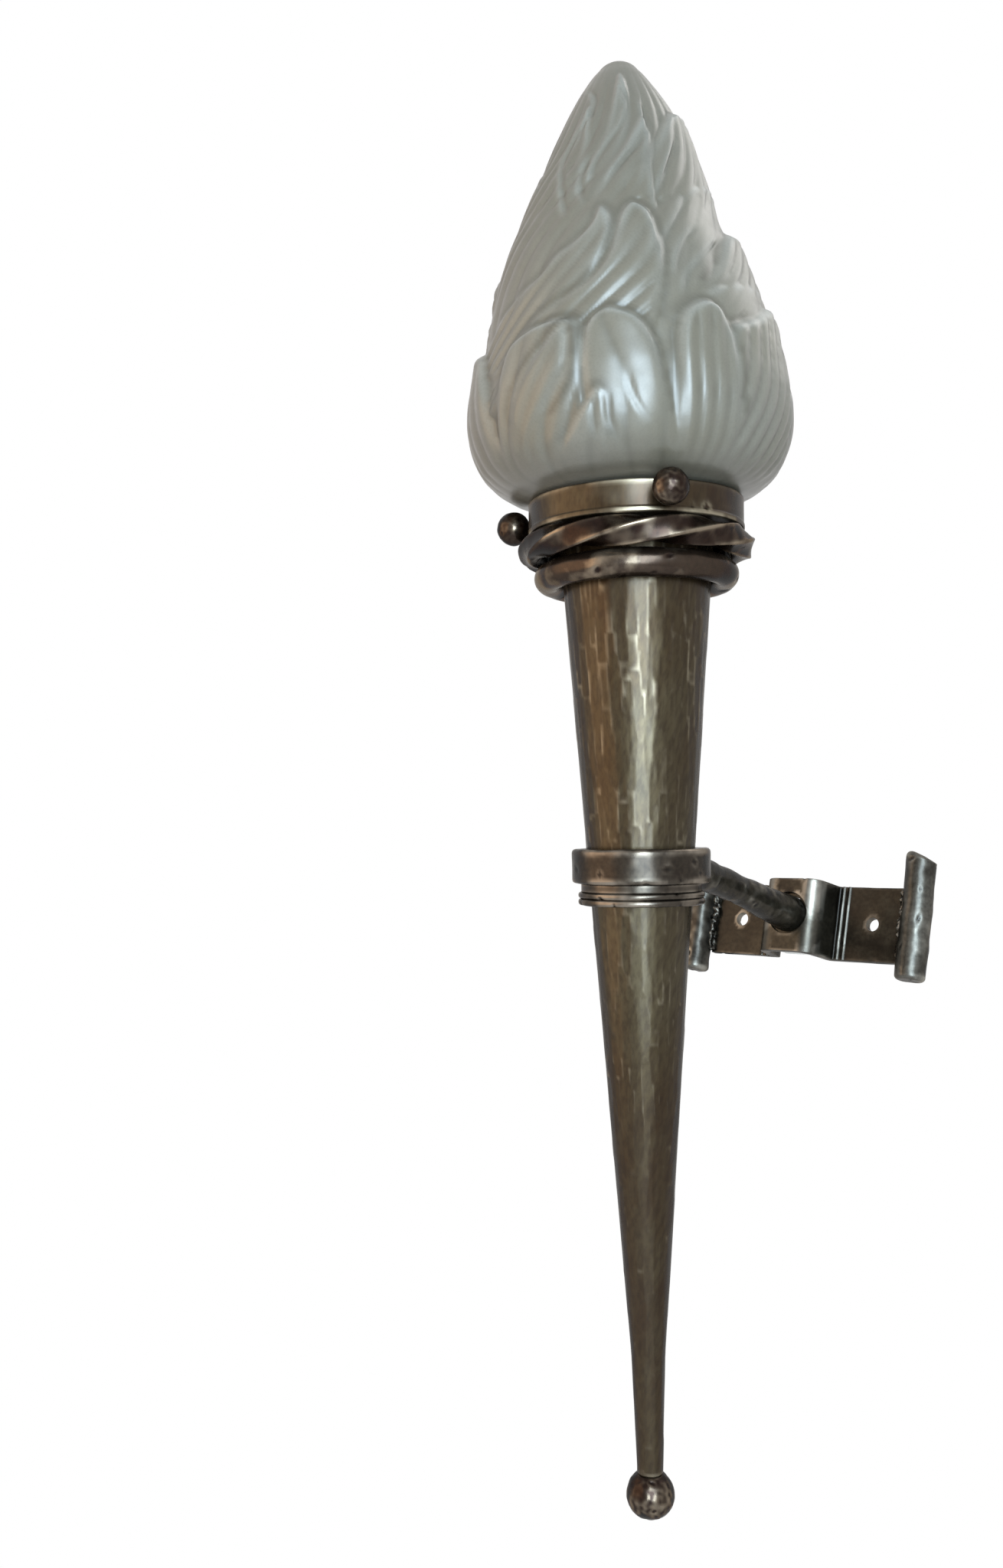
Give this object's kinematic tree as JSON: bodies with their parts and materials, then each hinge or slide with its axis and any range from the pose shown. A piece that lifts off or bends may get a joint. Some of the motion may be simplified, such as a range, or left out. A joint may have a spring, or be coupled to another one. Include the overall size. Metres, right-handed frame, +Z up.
{
  "type": "torch wall sconce",
  "caption": "Forged torch-shaped wall light: a tapering metal torch held in a ring on an arm, with a frosted glass flame over a screw-in bulb.",
  "frame": {"origin": "middle of the wall strap, in the plane of the wall", "axes": "+Z up, +Y into the wall, +X along the strap to the right as seen from the room"},
  "size_m": [0.1371, 0.2599, 0.5863],
  "materials": {
    "forged_steel": "hand-forged bar with a dark brown-grey rust-brown finish, satin, worn paler on the edges",
    "bronzed_torch": "hammered sheet with a patchy olive and red-brown finish, satin",
    "browned_steel": "dark reddish-brown forged bar, satin",
    "frosted_glass": "thick pressed glass, satin frosted",
    "bulb_glass": "clear",
    "plated_steel": "zinc plated",
    "brass": "plain",
    "bulb_cap_metal": "plain",
    "black_moulding": "matt",
    "white_ceramic": "glazed white",
    "filament": "yellow coated",
    "fibre": "pressed fibre",
    "brown_insulation": "satin",
    "blue_insulation": "satin",
    "green_insulation": "satin green and yellow"
  },
  "bodies": {
    "root": {"wall_strap": "forged_steel", "end_bar_left": "forged_steel", "end_bar_right": "forged_steel", "end_bar_welds": "forged_steel", "arm": "forged_steel", "arm_weld": "forged_steel", "collar_band": "bronzed_torch", "collar_seat_ring": "bronzed_torch", "retaining_ring_upper": "bronzed_torch", "retaining_ring_lower": "bronzed_torch", "torch_cone": "bronzed_torch", "finial_ball": "bronzed_torch", "finial_stud": "plated_steel", "round_ring": "browned_steel", "twisted_ring": "browned_steel", "gallery_cup": "bronzed_torch", "shade_gasket": "fibre", "cone_bridge": "plated_steel", "nipple": "plated_steel", "nipple_nuts": "plated_steel", "earth_screw": "plated_steel", "lampholder_cap": "black_moulding", "lampholder_insulator": "white_ceramic", "lampholder_terminals": "plated_steel", "lampholder_contact": "brass", "lampholder_thread_shell": "brass", "lampholder_skirt": "black_moulding", "lead_live": "brown_insulation", "lead_neutral": "blue_insulation", "earth_lead": "green_insulation", "terminal_block": "white_ceramic", "terminal_block_screws": "plated_steel"},
    "shade": {"glass_shade": "frosted_glass"},
    "bulb": {"bulb_glass": "bulb_glass", "bulb_cap": "bulb_cap_metal", "bulb_contact": "brass", "bulb_cap_insulator": "black_moulding", "bulb_stem": "bulb_glass", "bulb_filaments": "filament"},
    "thumbscrew_1": {"thumbscrew_1": "browned_steel"},
    "thumbscrew_2": {"thumbscrew_2": "browned_steel"},
    "thumbscrew_3": {"thumbscrew_3": "browned_steel"}
  },
  "joints": [
    {"name": "shade_lift_off", "type": "slide", "parent": "root", "child": "shade", "axis": [0, -0.2672, 0.9636], "range_m": [0, 0.14]},
    {"name": "bulb_unscrew", "type": "slide", "parent": "root", "child": "bulb", "axis": [0, -0.2672, 0.9636], "range_m": [0, 0.024]},
    {"name": "thumbscrew_1_slide", "type": "slide", "parent": "root", "child": "thumbscrew_1", "axis": [0.7777, -0.6058, -0.168], "range_m": [0, 0.004]},
    {"name": "thumbscrew_2_slide", "type": "slide", "parent": "root", "child": "thumbscrew_2", "axis": [0.1556, 0.9519, 0.264], "range_m": [0, 0.004]},
    {"name": "thumbscrew_3_slide", "type": "slide", "parent": "root", "child": "thumbscrew_3", "axis": [-0.9333, -0.3461, -0.096], "range_m": [0, 0.004]}
  ]
}
